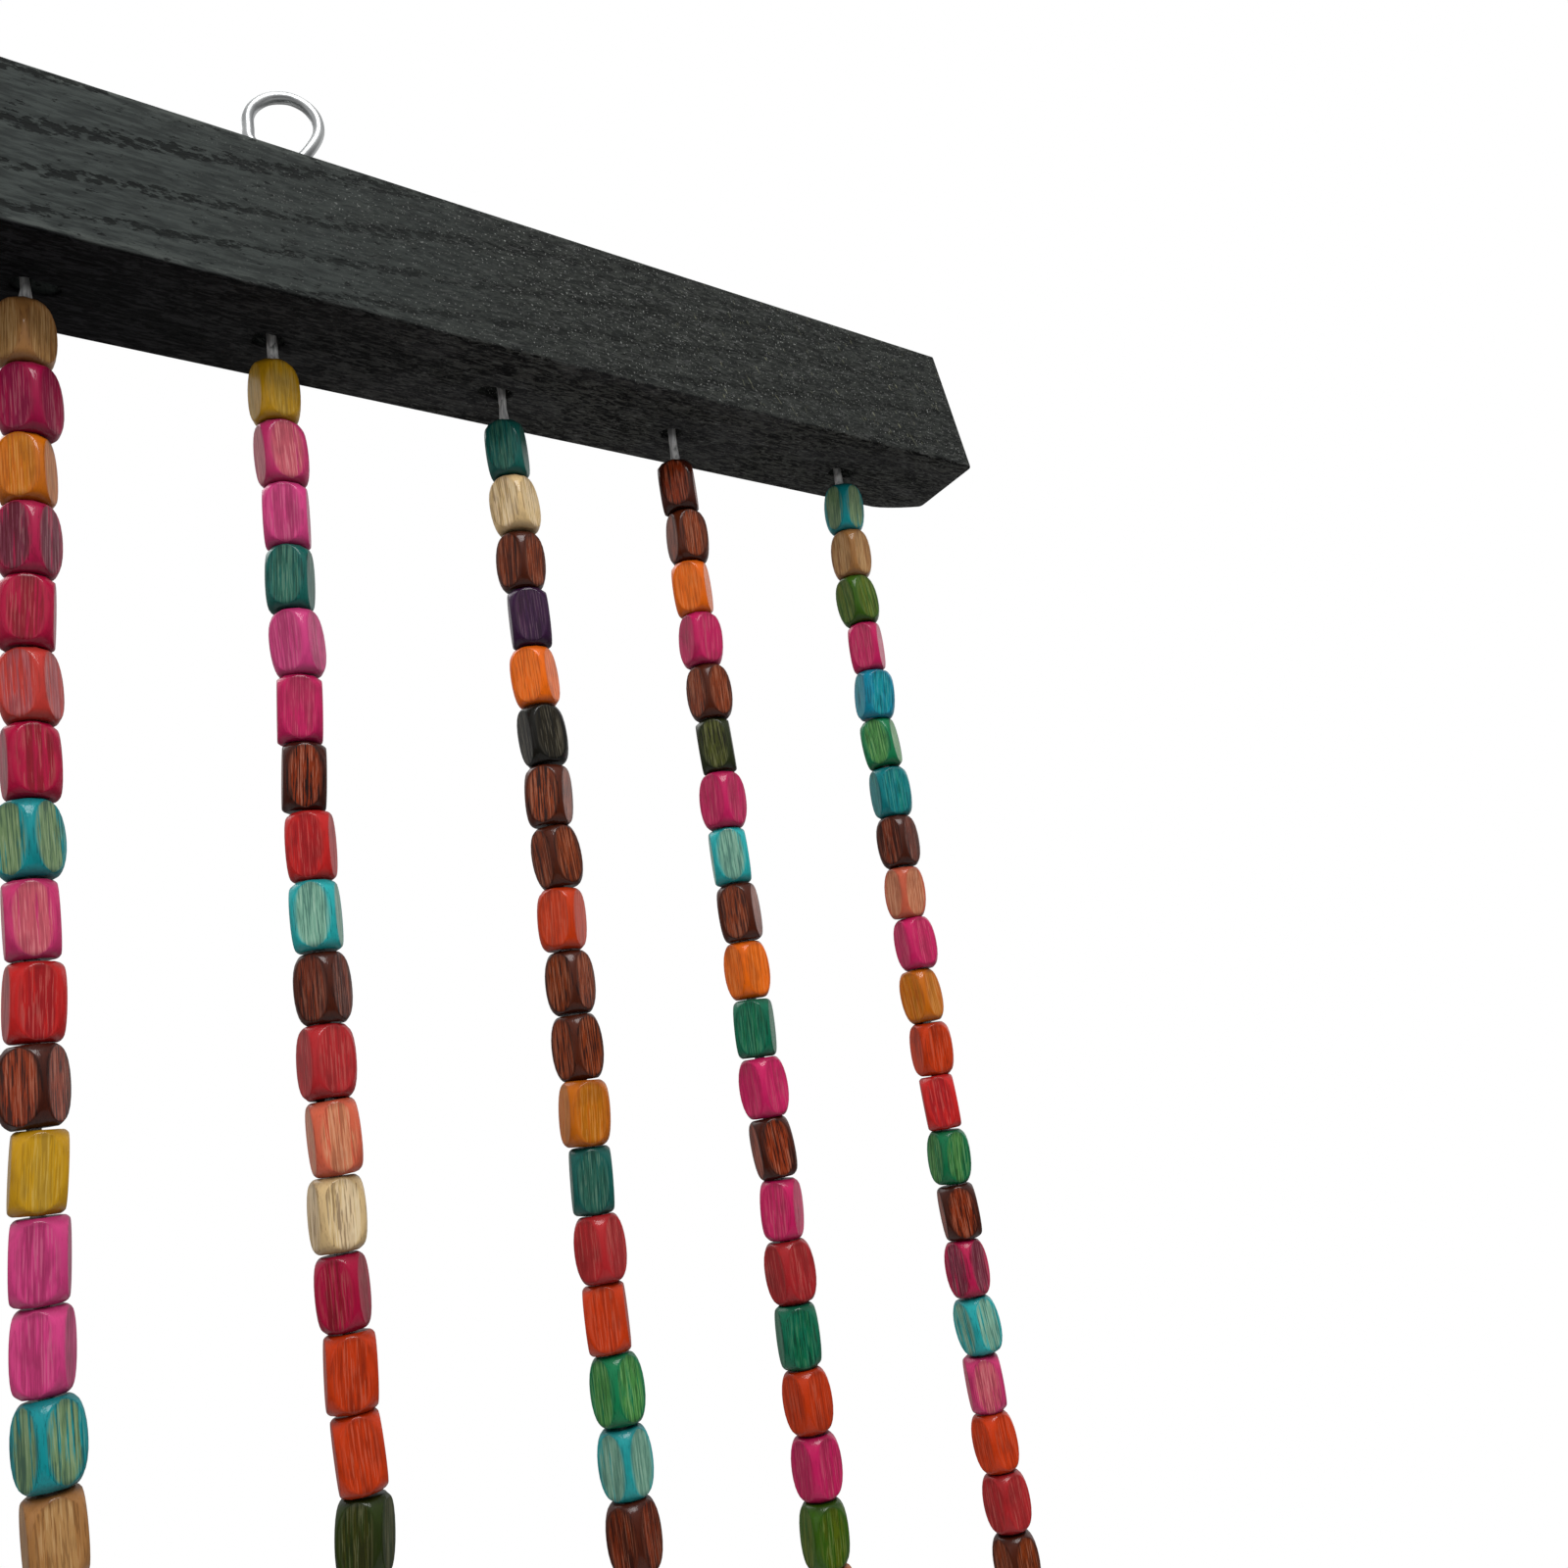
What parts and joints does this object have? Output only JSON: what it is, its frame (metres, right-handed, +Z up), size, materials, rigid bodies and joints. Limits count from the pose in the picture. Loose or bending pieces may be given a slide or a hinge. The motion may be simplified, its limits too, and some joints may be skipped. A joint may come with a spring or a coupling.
{
  "type": "bead curtain on a wooden header bar",
  "caption": "String curtain of small dyed wooden beads on cords, hung through holes in a black stained square wooden bar with two screw eyes on top.",
  "frame": {"origin": "midway between the two screw eyes, at the height where a hook bears inside their rings", "axes": "+Z up, against the hanging direction of the strands; X along the bar, +X to the right seen from the front; -Y out of the front, +Y out of the back face"},
  "size_m": [0.9075, 0.024, 1.826],
  "materials": {
    "stained_wood": "black stain on open-grained wood, dull",
    "bright_steel": "bright plated wire",
    "dyed_beads": "dyed in many colours and lacquered, glossy"
  },
  "bodies": {
    "root": {"header_bar": "stained_wood", "screw_eye_left": "bright_steel", "screw_eye_right": "bright_steel", "strand_01": "dyed_beads", "strand_02": "dyed_beads", "strand_03": "dyed_beads", "strand_04": "dyed_beads", "strand_05": "dyed_beads", "strand_06": "dyed_beads", "strand_07": "dyed_beads", "strand_08": "dyed_beads", "strand_09": "dyed_beads", "strand_10": "dyed_beads", "strand_11": "dyed_beads", "strand_12": "dyed_beads", "strand_13": "dyed_beads", "strand_14": "dyed_beads", "strand_15": "dyed_beads", "strand_16": "dyed_beads", "strand_17": "dyed_beads", "strand_18": "dyed_beads", "strand_19": "dyed_beads", "strand_20": "dyed_beads", "strand_21": "dyed_beads", "strand_22": "dyed_beads", "strand_23": "dyed_beads"}
  },
  "joints": []
}
